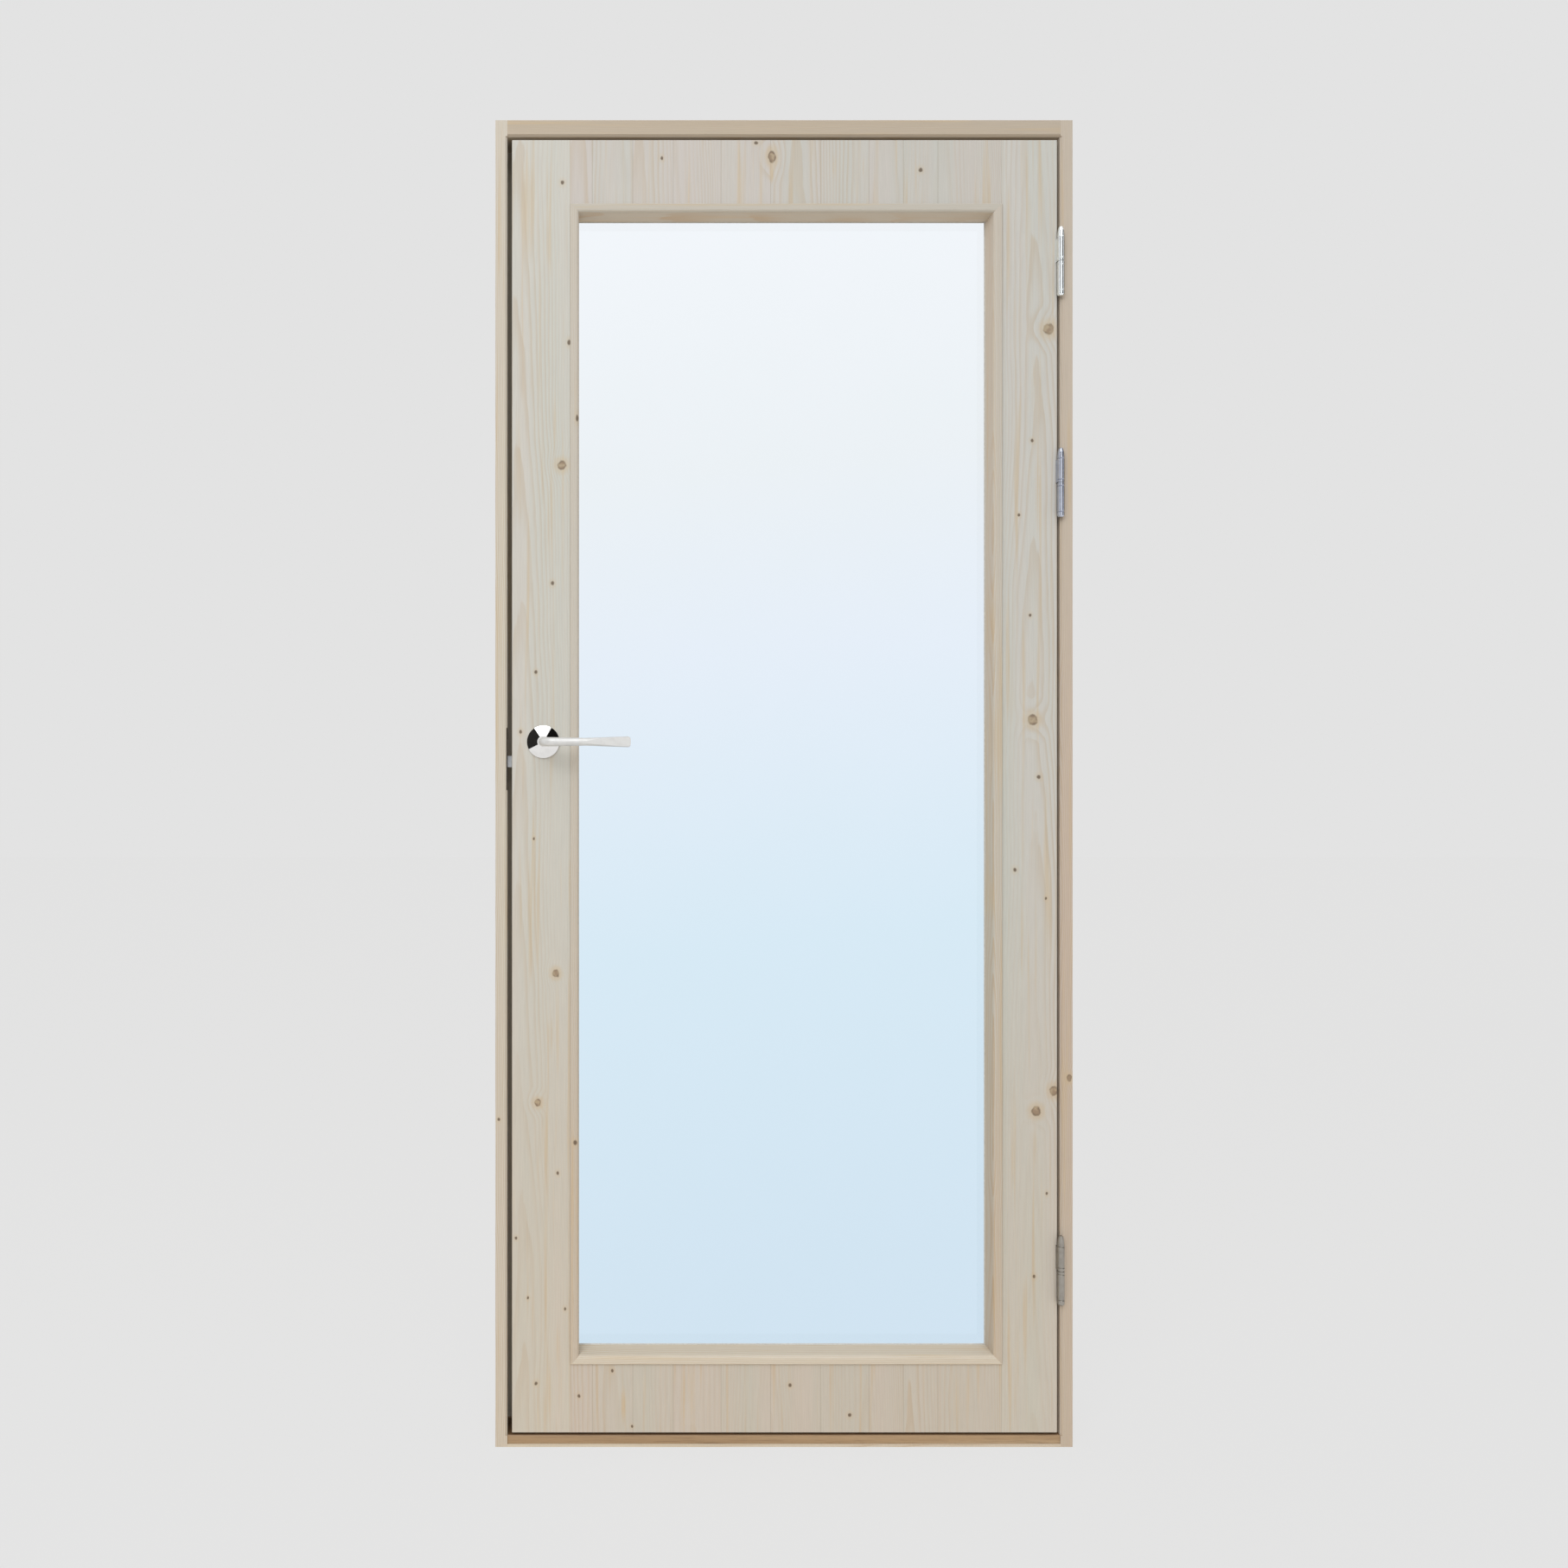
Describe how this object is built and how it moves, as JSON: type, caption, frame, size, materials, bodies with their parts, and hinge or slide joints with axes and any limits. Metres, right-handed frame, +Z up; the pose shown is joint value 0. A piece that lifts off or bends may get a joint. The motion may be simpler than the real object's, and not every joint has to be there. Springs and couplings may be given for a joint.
{
  "type": "glazed interior door",
  "caption": "Full-lite spruce interior door leaf with a beaded glass pane, hung by lift-off hinges in a rebated frame with a low threshold, and worked by a lever handle and latch.",
  "frame": {"origin": "middle of the sill's underside, half way through the depth of the frame", "axes": "+Z up, +X to the right as the door is faced from the side it opens to, +Y away from that viewer"},
  "size_m": [0.87, 0.1544, 2],
  "materials": {
    "spruce": "planed, untreated",
    "threshold_oak": "oiled",
    "clear_glass": "clear float",
    "bright_hinge": "bright zinc plate",
    "grey_hinge": "matt zinc plate",
    "polished_chrome": "polished",
    "satin_metal": "satin",
    "lock_steel": "zinc plate",
    "dark_steel": "dull, dark"
  },
  "bodies": {
    "frame": {"lock_jamb": "spruce", "hinge_jamb": "spruce", "head": "spruce", "sill_board": "spruce", "threshold": "threshold_oak", "strike_plate": "dark_steel", "lock_stop": "spruce", "hinge_stop": "spruce", "head_stop": "spruce", "lower_hinge_frame_half": "grey_hinge", "middle_hinge_frame_half": "bright_hinge", "upper_hinge_frame_half": "bright_hinge"},
    "leaf": {"lock_stile": "spruce", "hinge_stile": "spruce", "top_rail": "spruce", "bottom_rail": "spruce", "front_bead_bottom": "spruce", "front_bead_hinge_side": "spruce", "front_bead_top": "spruce", "front_bead_lock_side": "spruce", "rear_bead_bottom": "spruce", "rear_bead_hinge_side": "spruce", "rear_bead_top": "spruce", "rear_bead_lock_side": "spruce", "glass_pane": "clear_glass", "middle_hinge_leaf_half": "bright_hinge", "upper_hinge_leaf_half": "bright_hinge", "lower_hinge_leaf_half": "grey_hinge", "front_rose": "polished_chrome", "rear_rose": "polished_chrome", "mortise_lock": "lock_steel"},
    "levers": {"front_lever": "satin_metal", "rear_lever": "satin_metal", "spindle": "lock_steel"},
    "latch": {"latch_bolt": "lock_steel"}
  },
  "joints": [
    {"name": "leaf_swing", "type": "hinge", "parent": "frame", "child": "leaf", "pos_m": [0.4145, -0.052, 1], "axis": [0, 0, 1], "range_deg": [0, 170]},
    {"name": "lever_turn", "type": "hinge", "parent": "leaf", "child": "levers", "pos_m": [-0.363, -0.0235, 1.063], "axis": [0, 1, 0], "range_deg": [0, 45], "stiffness_Nm_per_rad": 1.2, "springref_deg": -28.65},
    {"name": "latch_slide", "type": "slide", "parent": "leaf", "child": "latch", "axis": [1, 0, 0], "range_m": [0, 0.012]}
  ],
  "couplings": [
    {"joint": "latch_slide", "follows": "lever_turn", "m_per_rad": 0.01527}
  ]
}
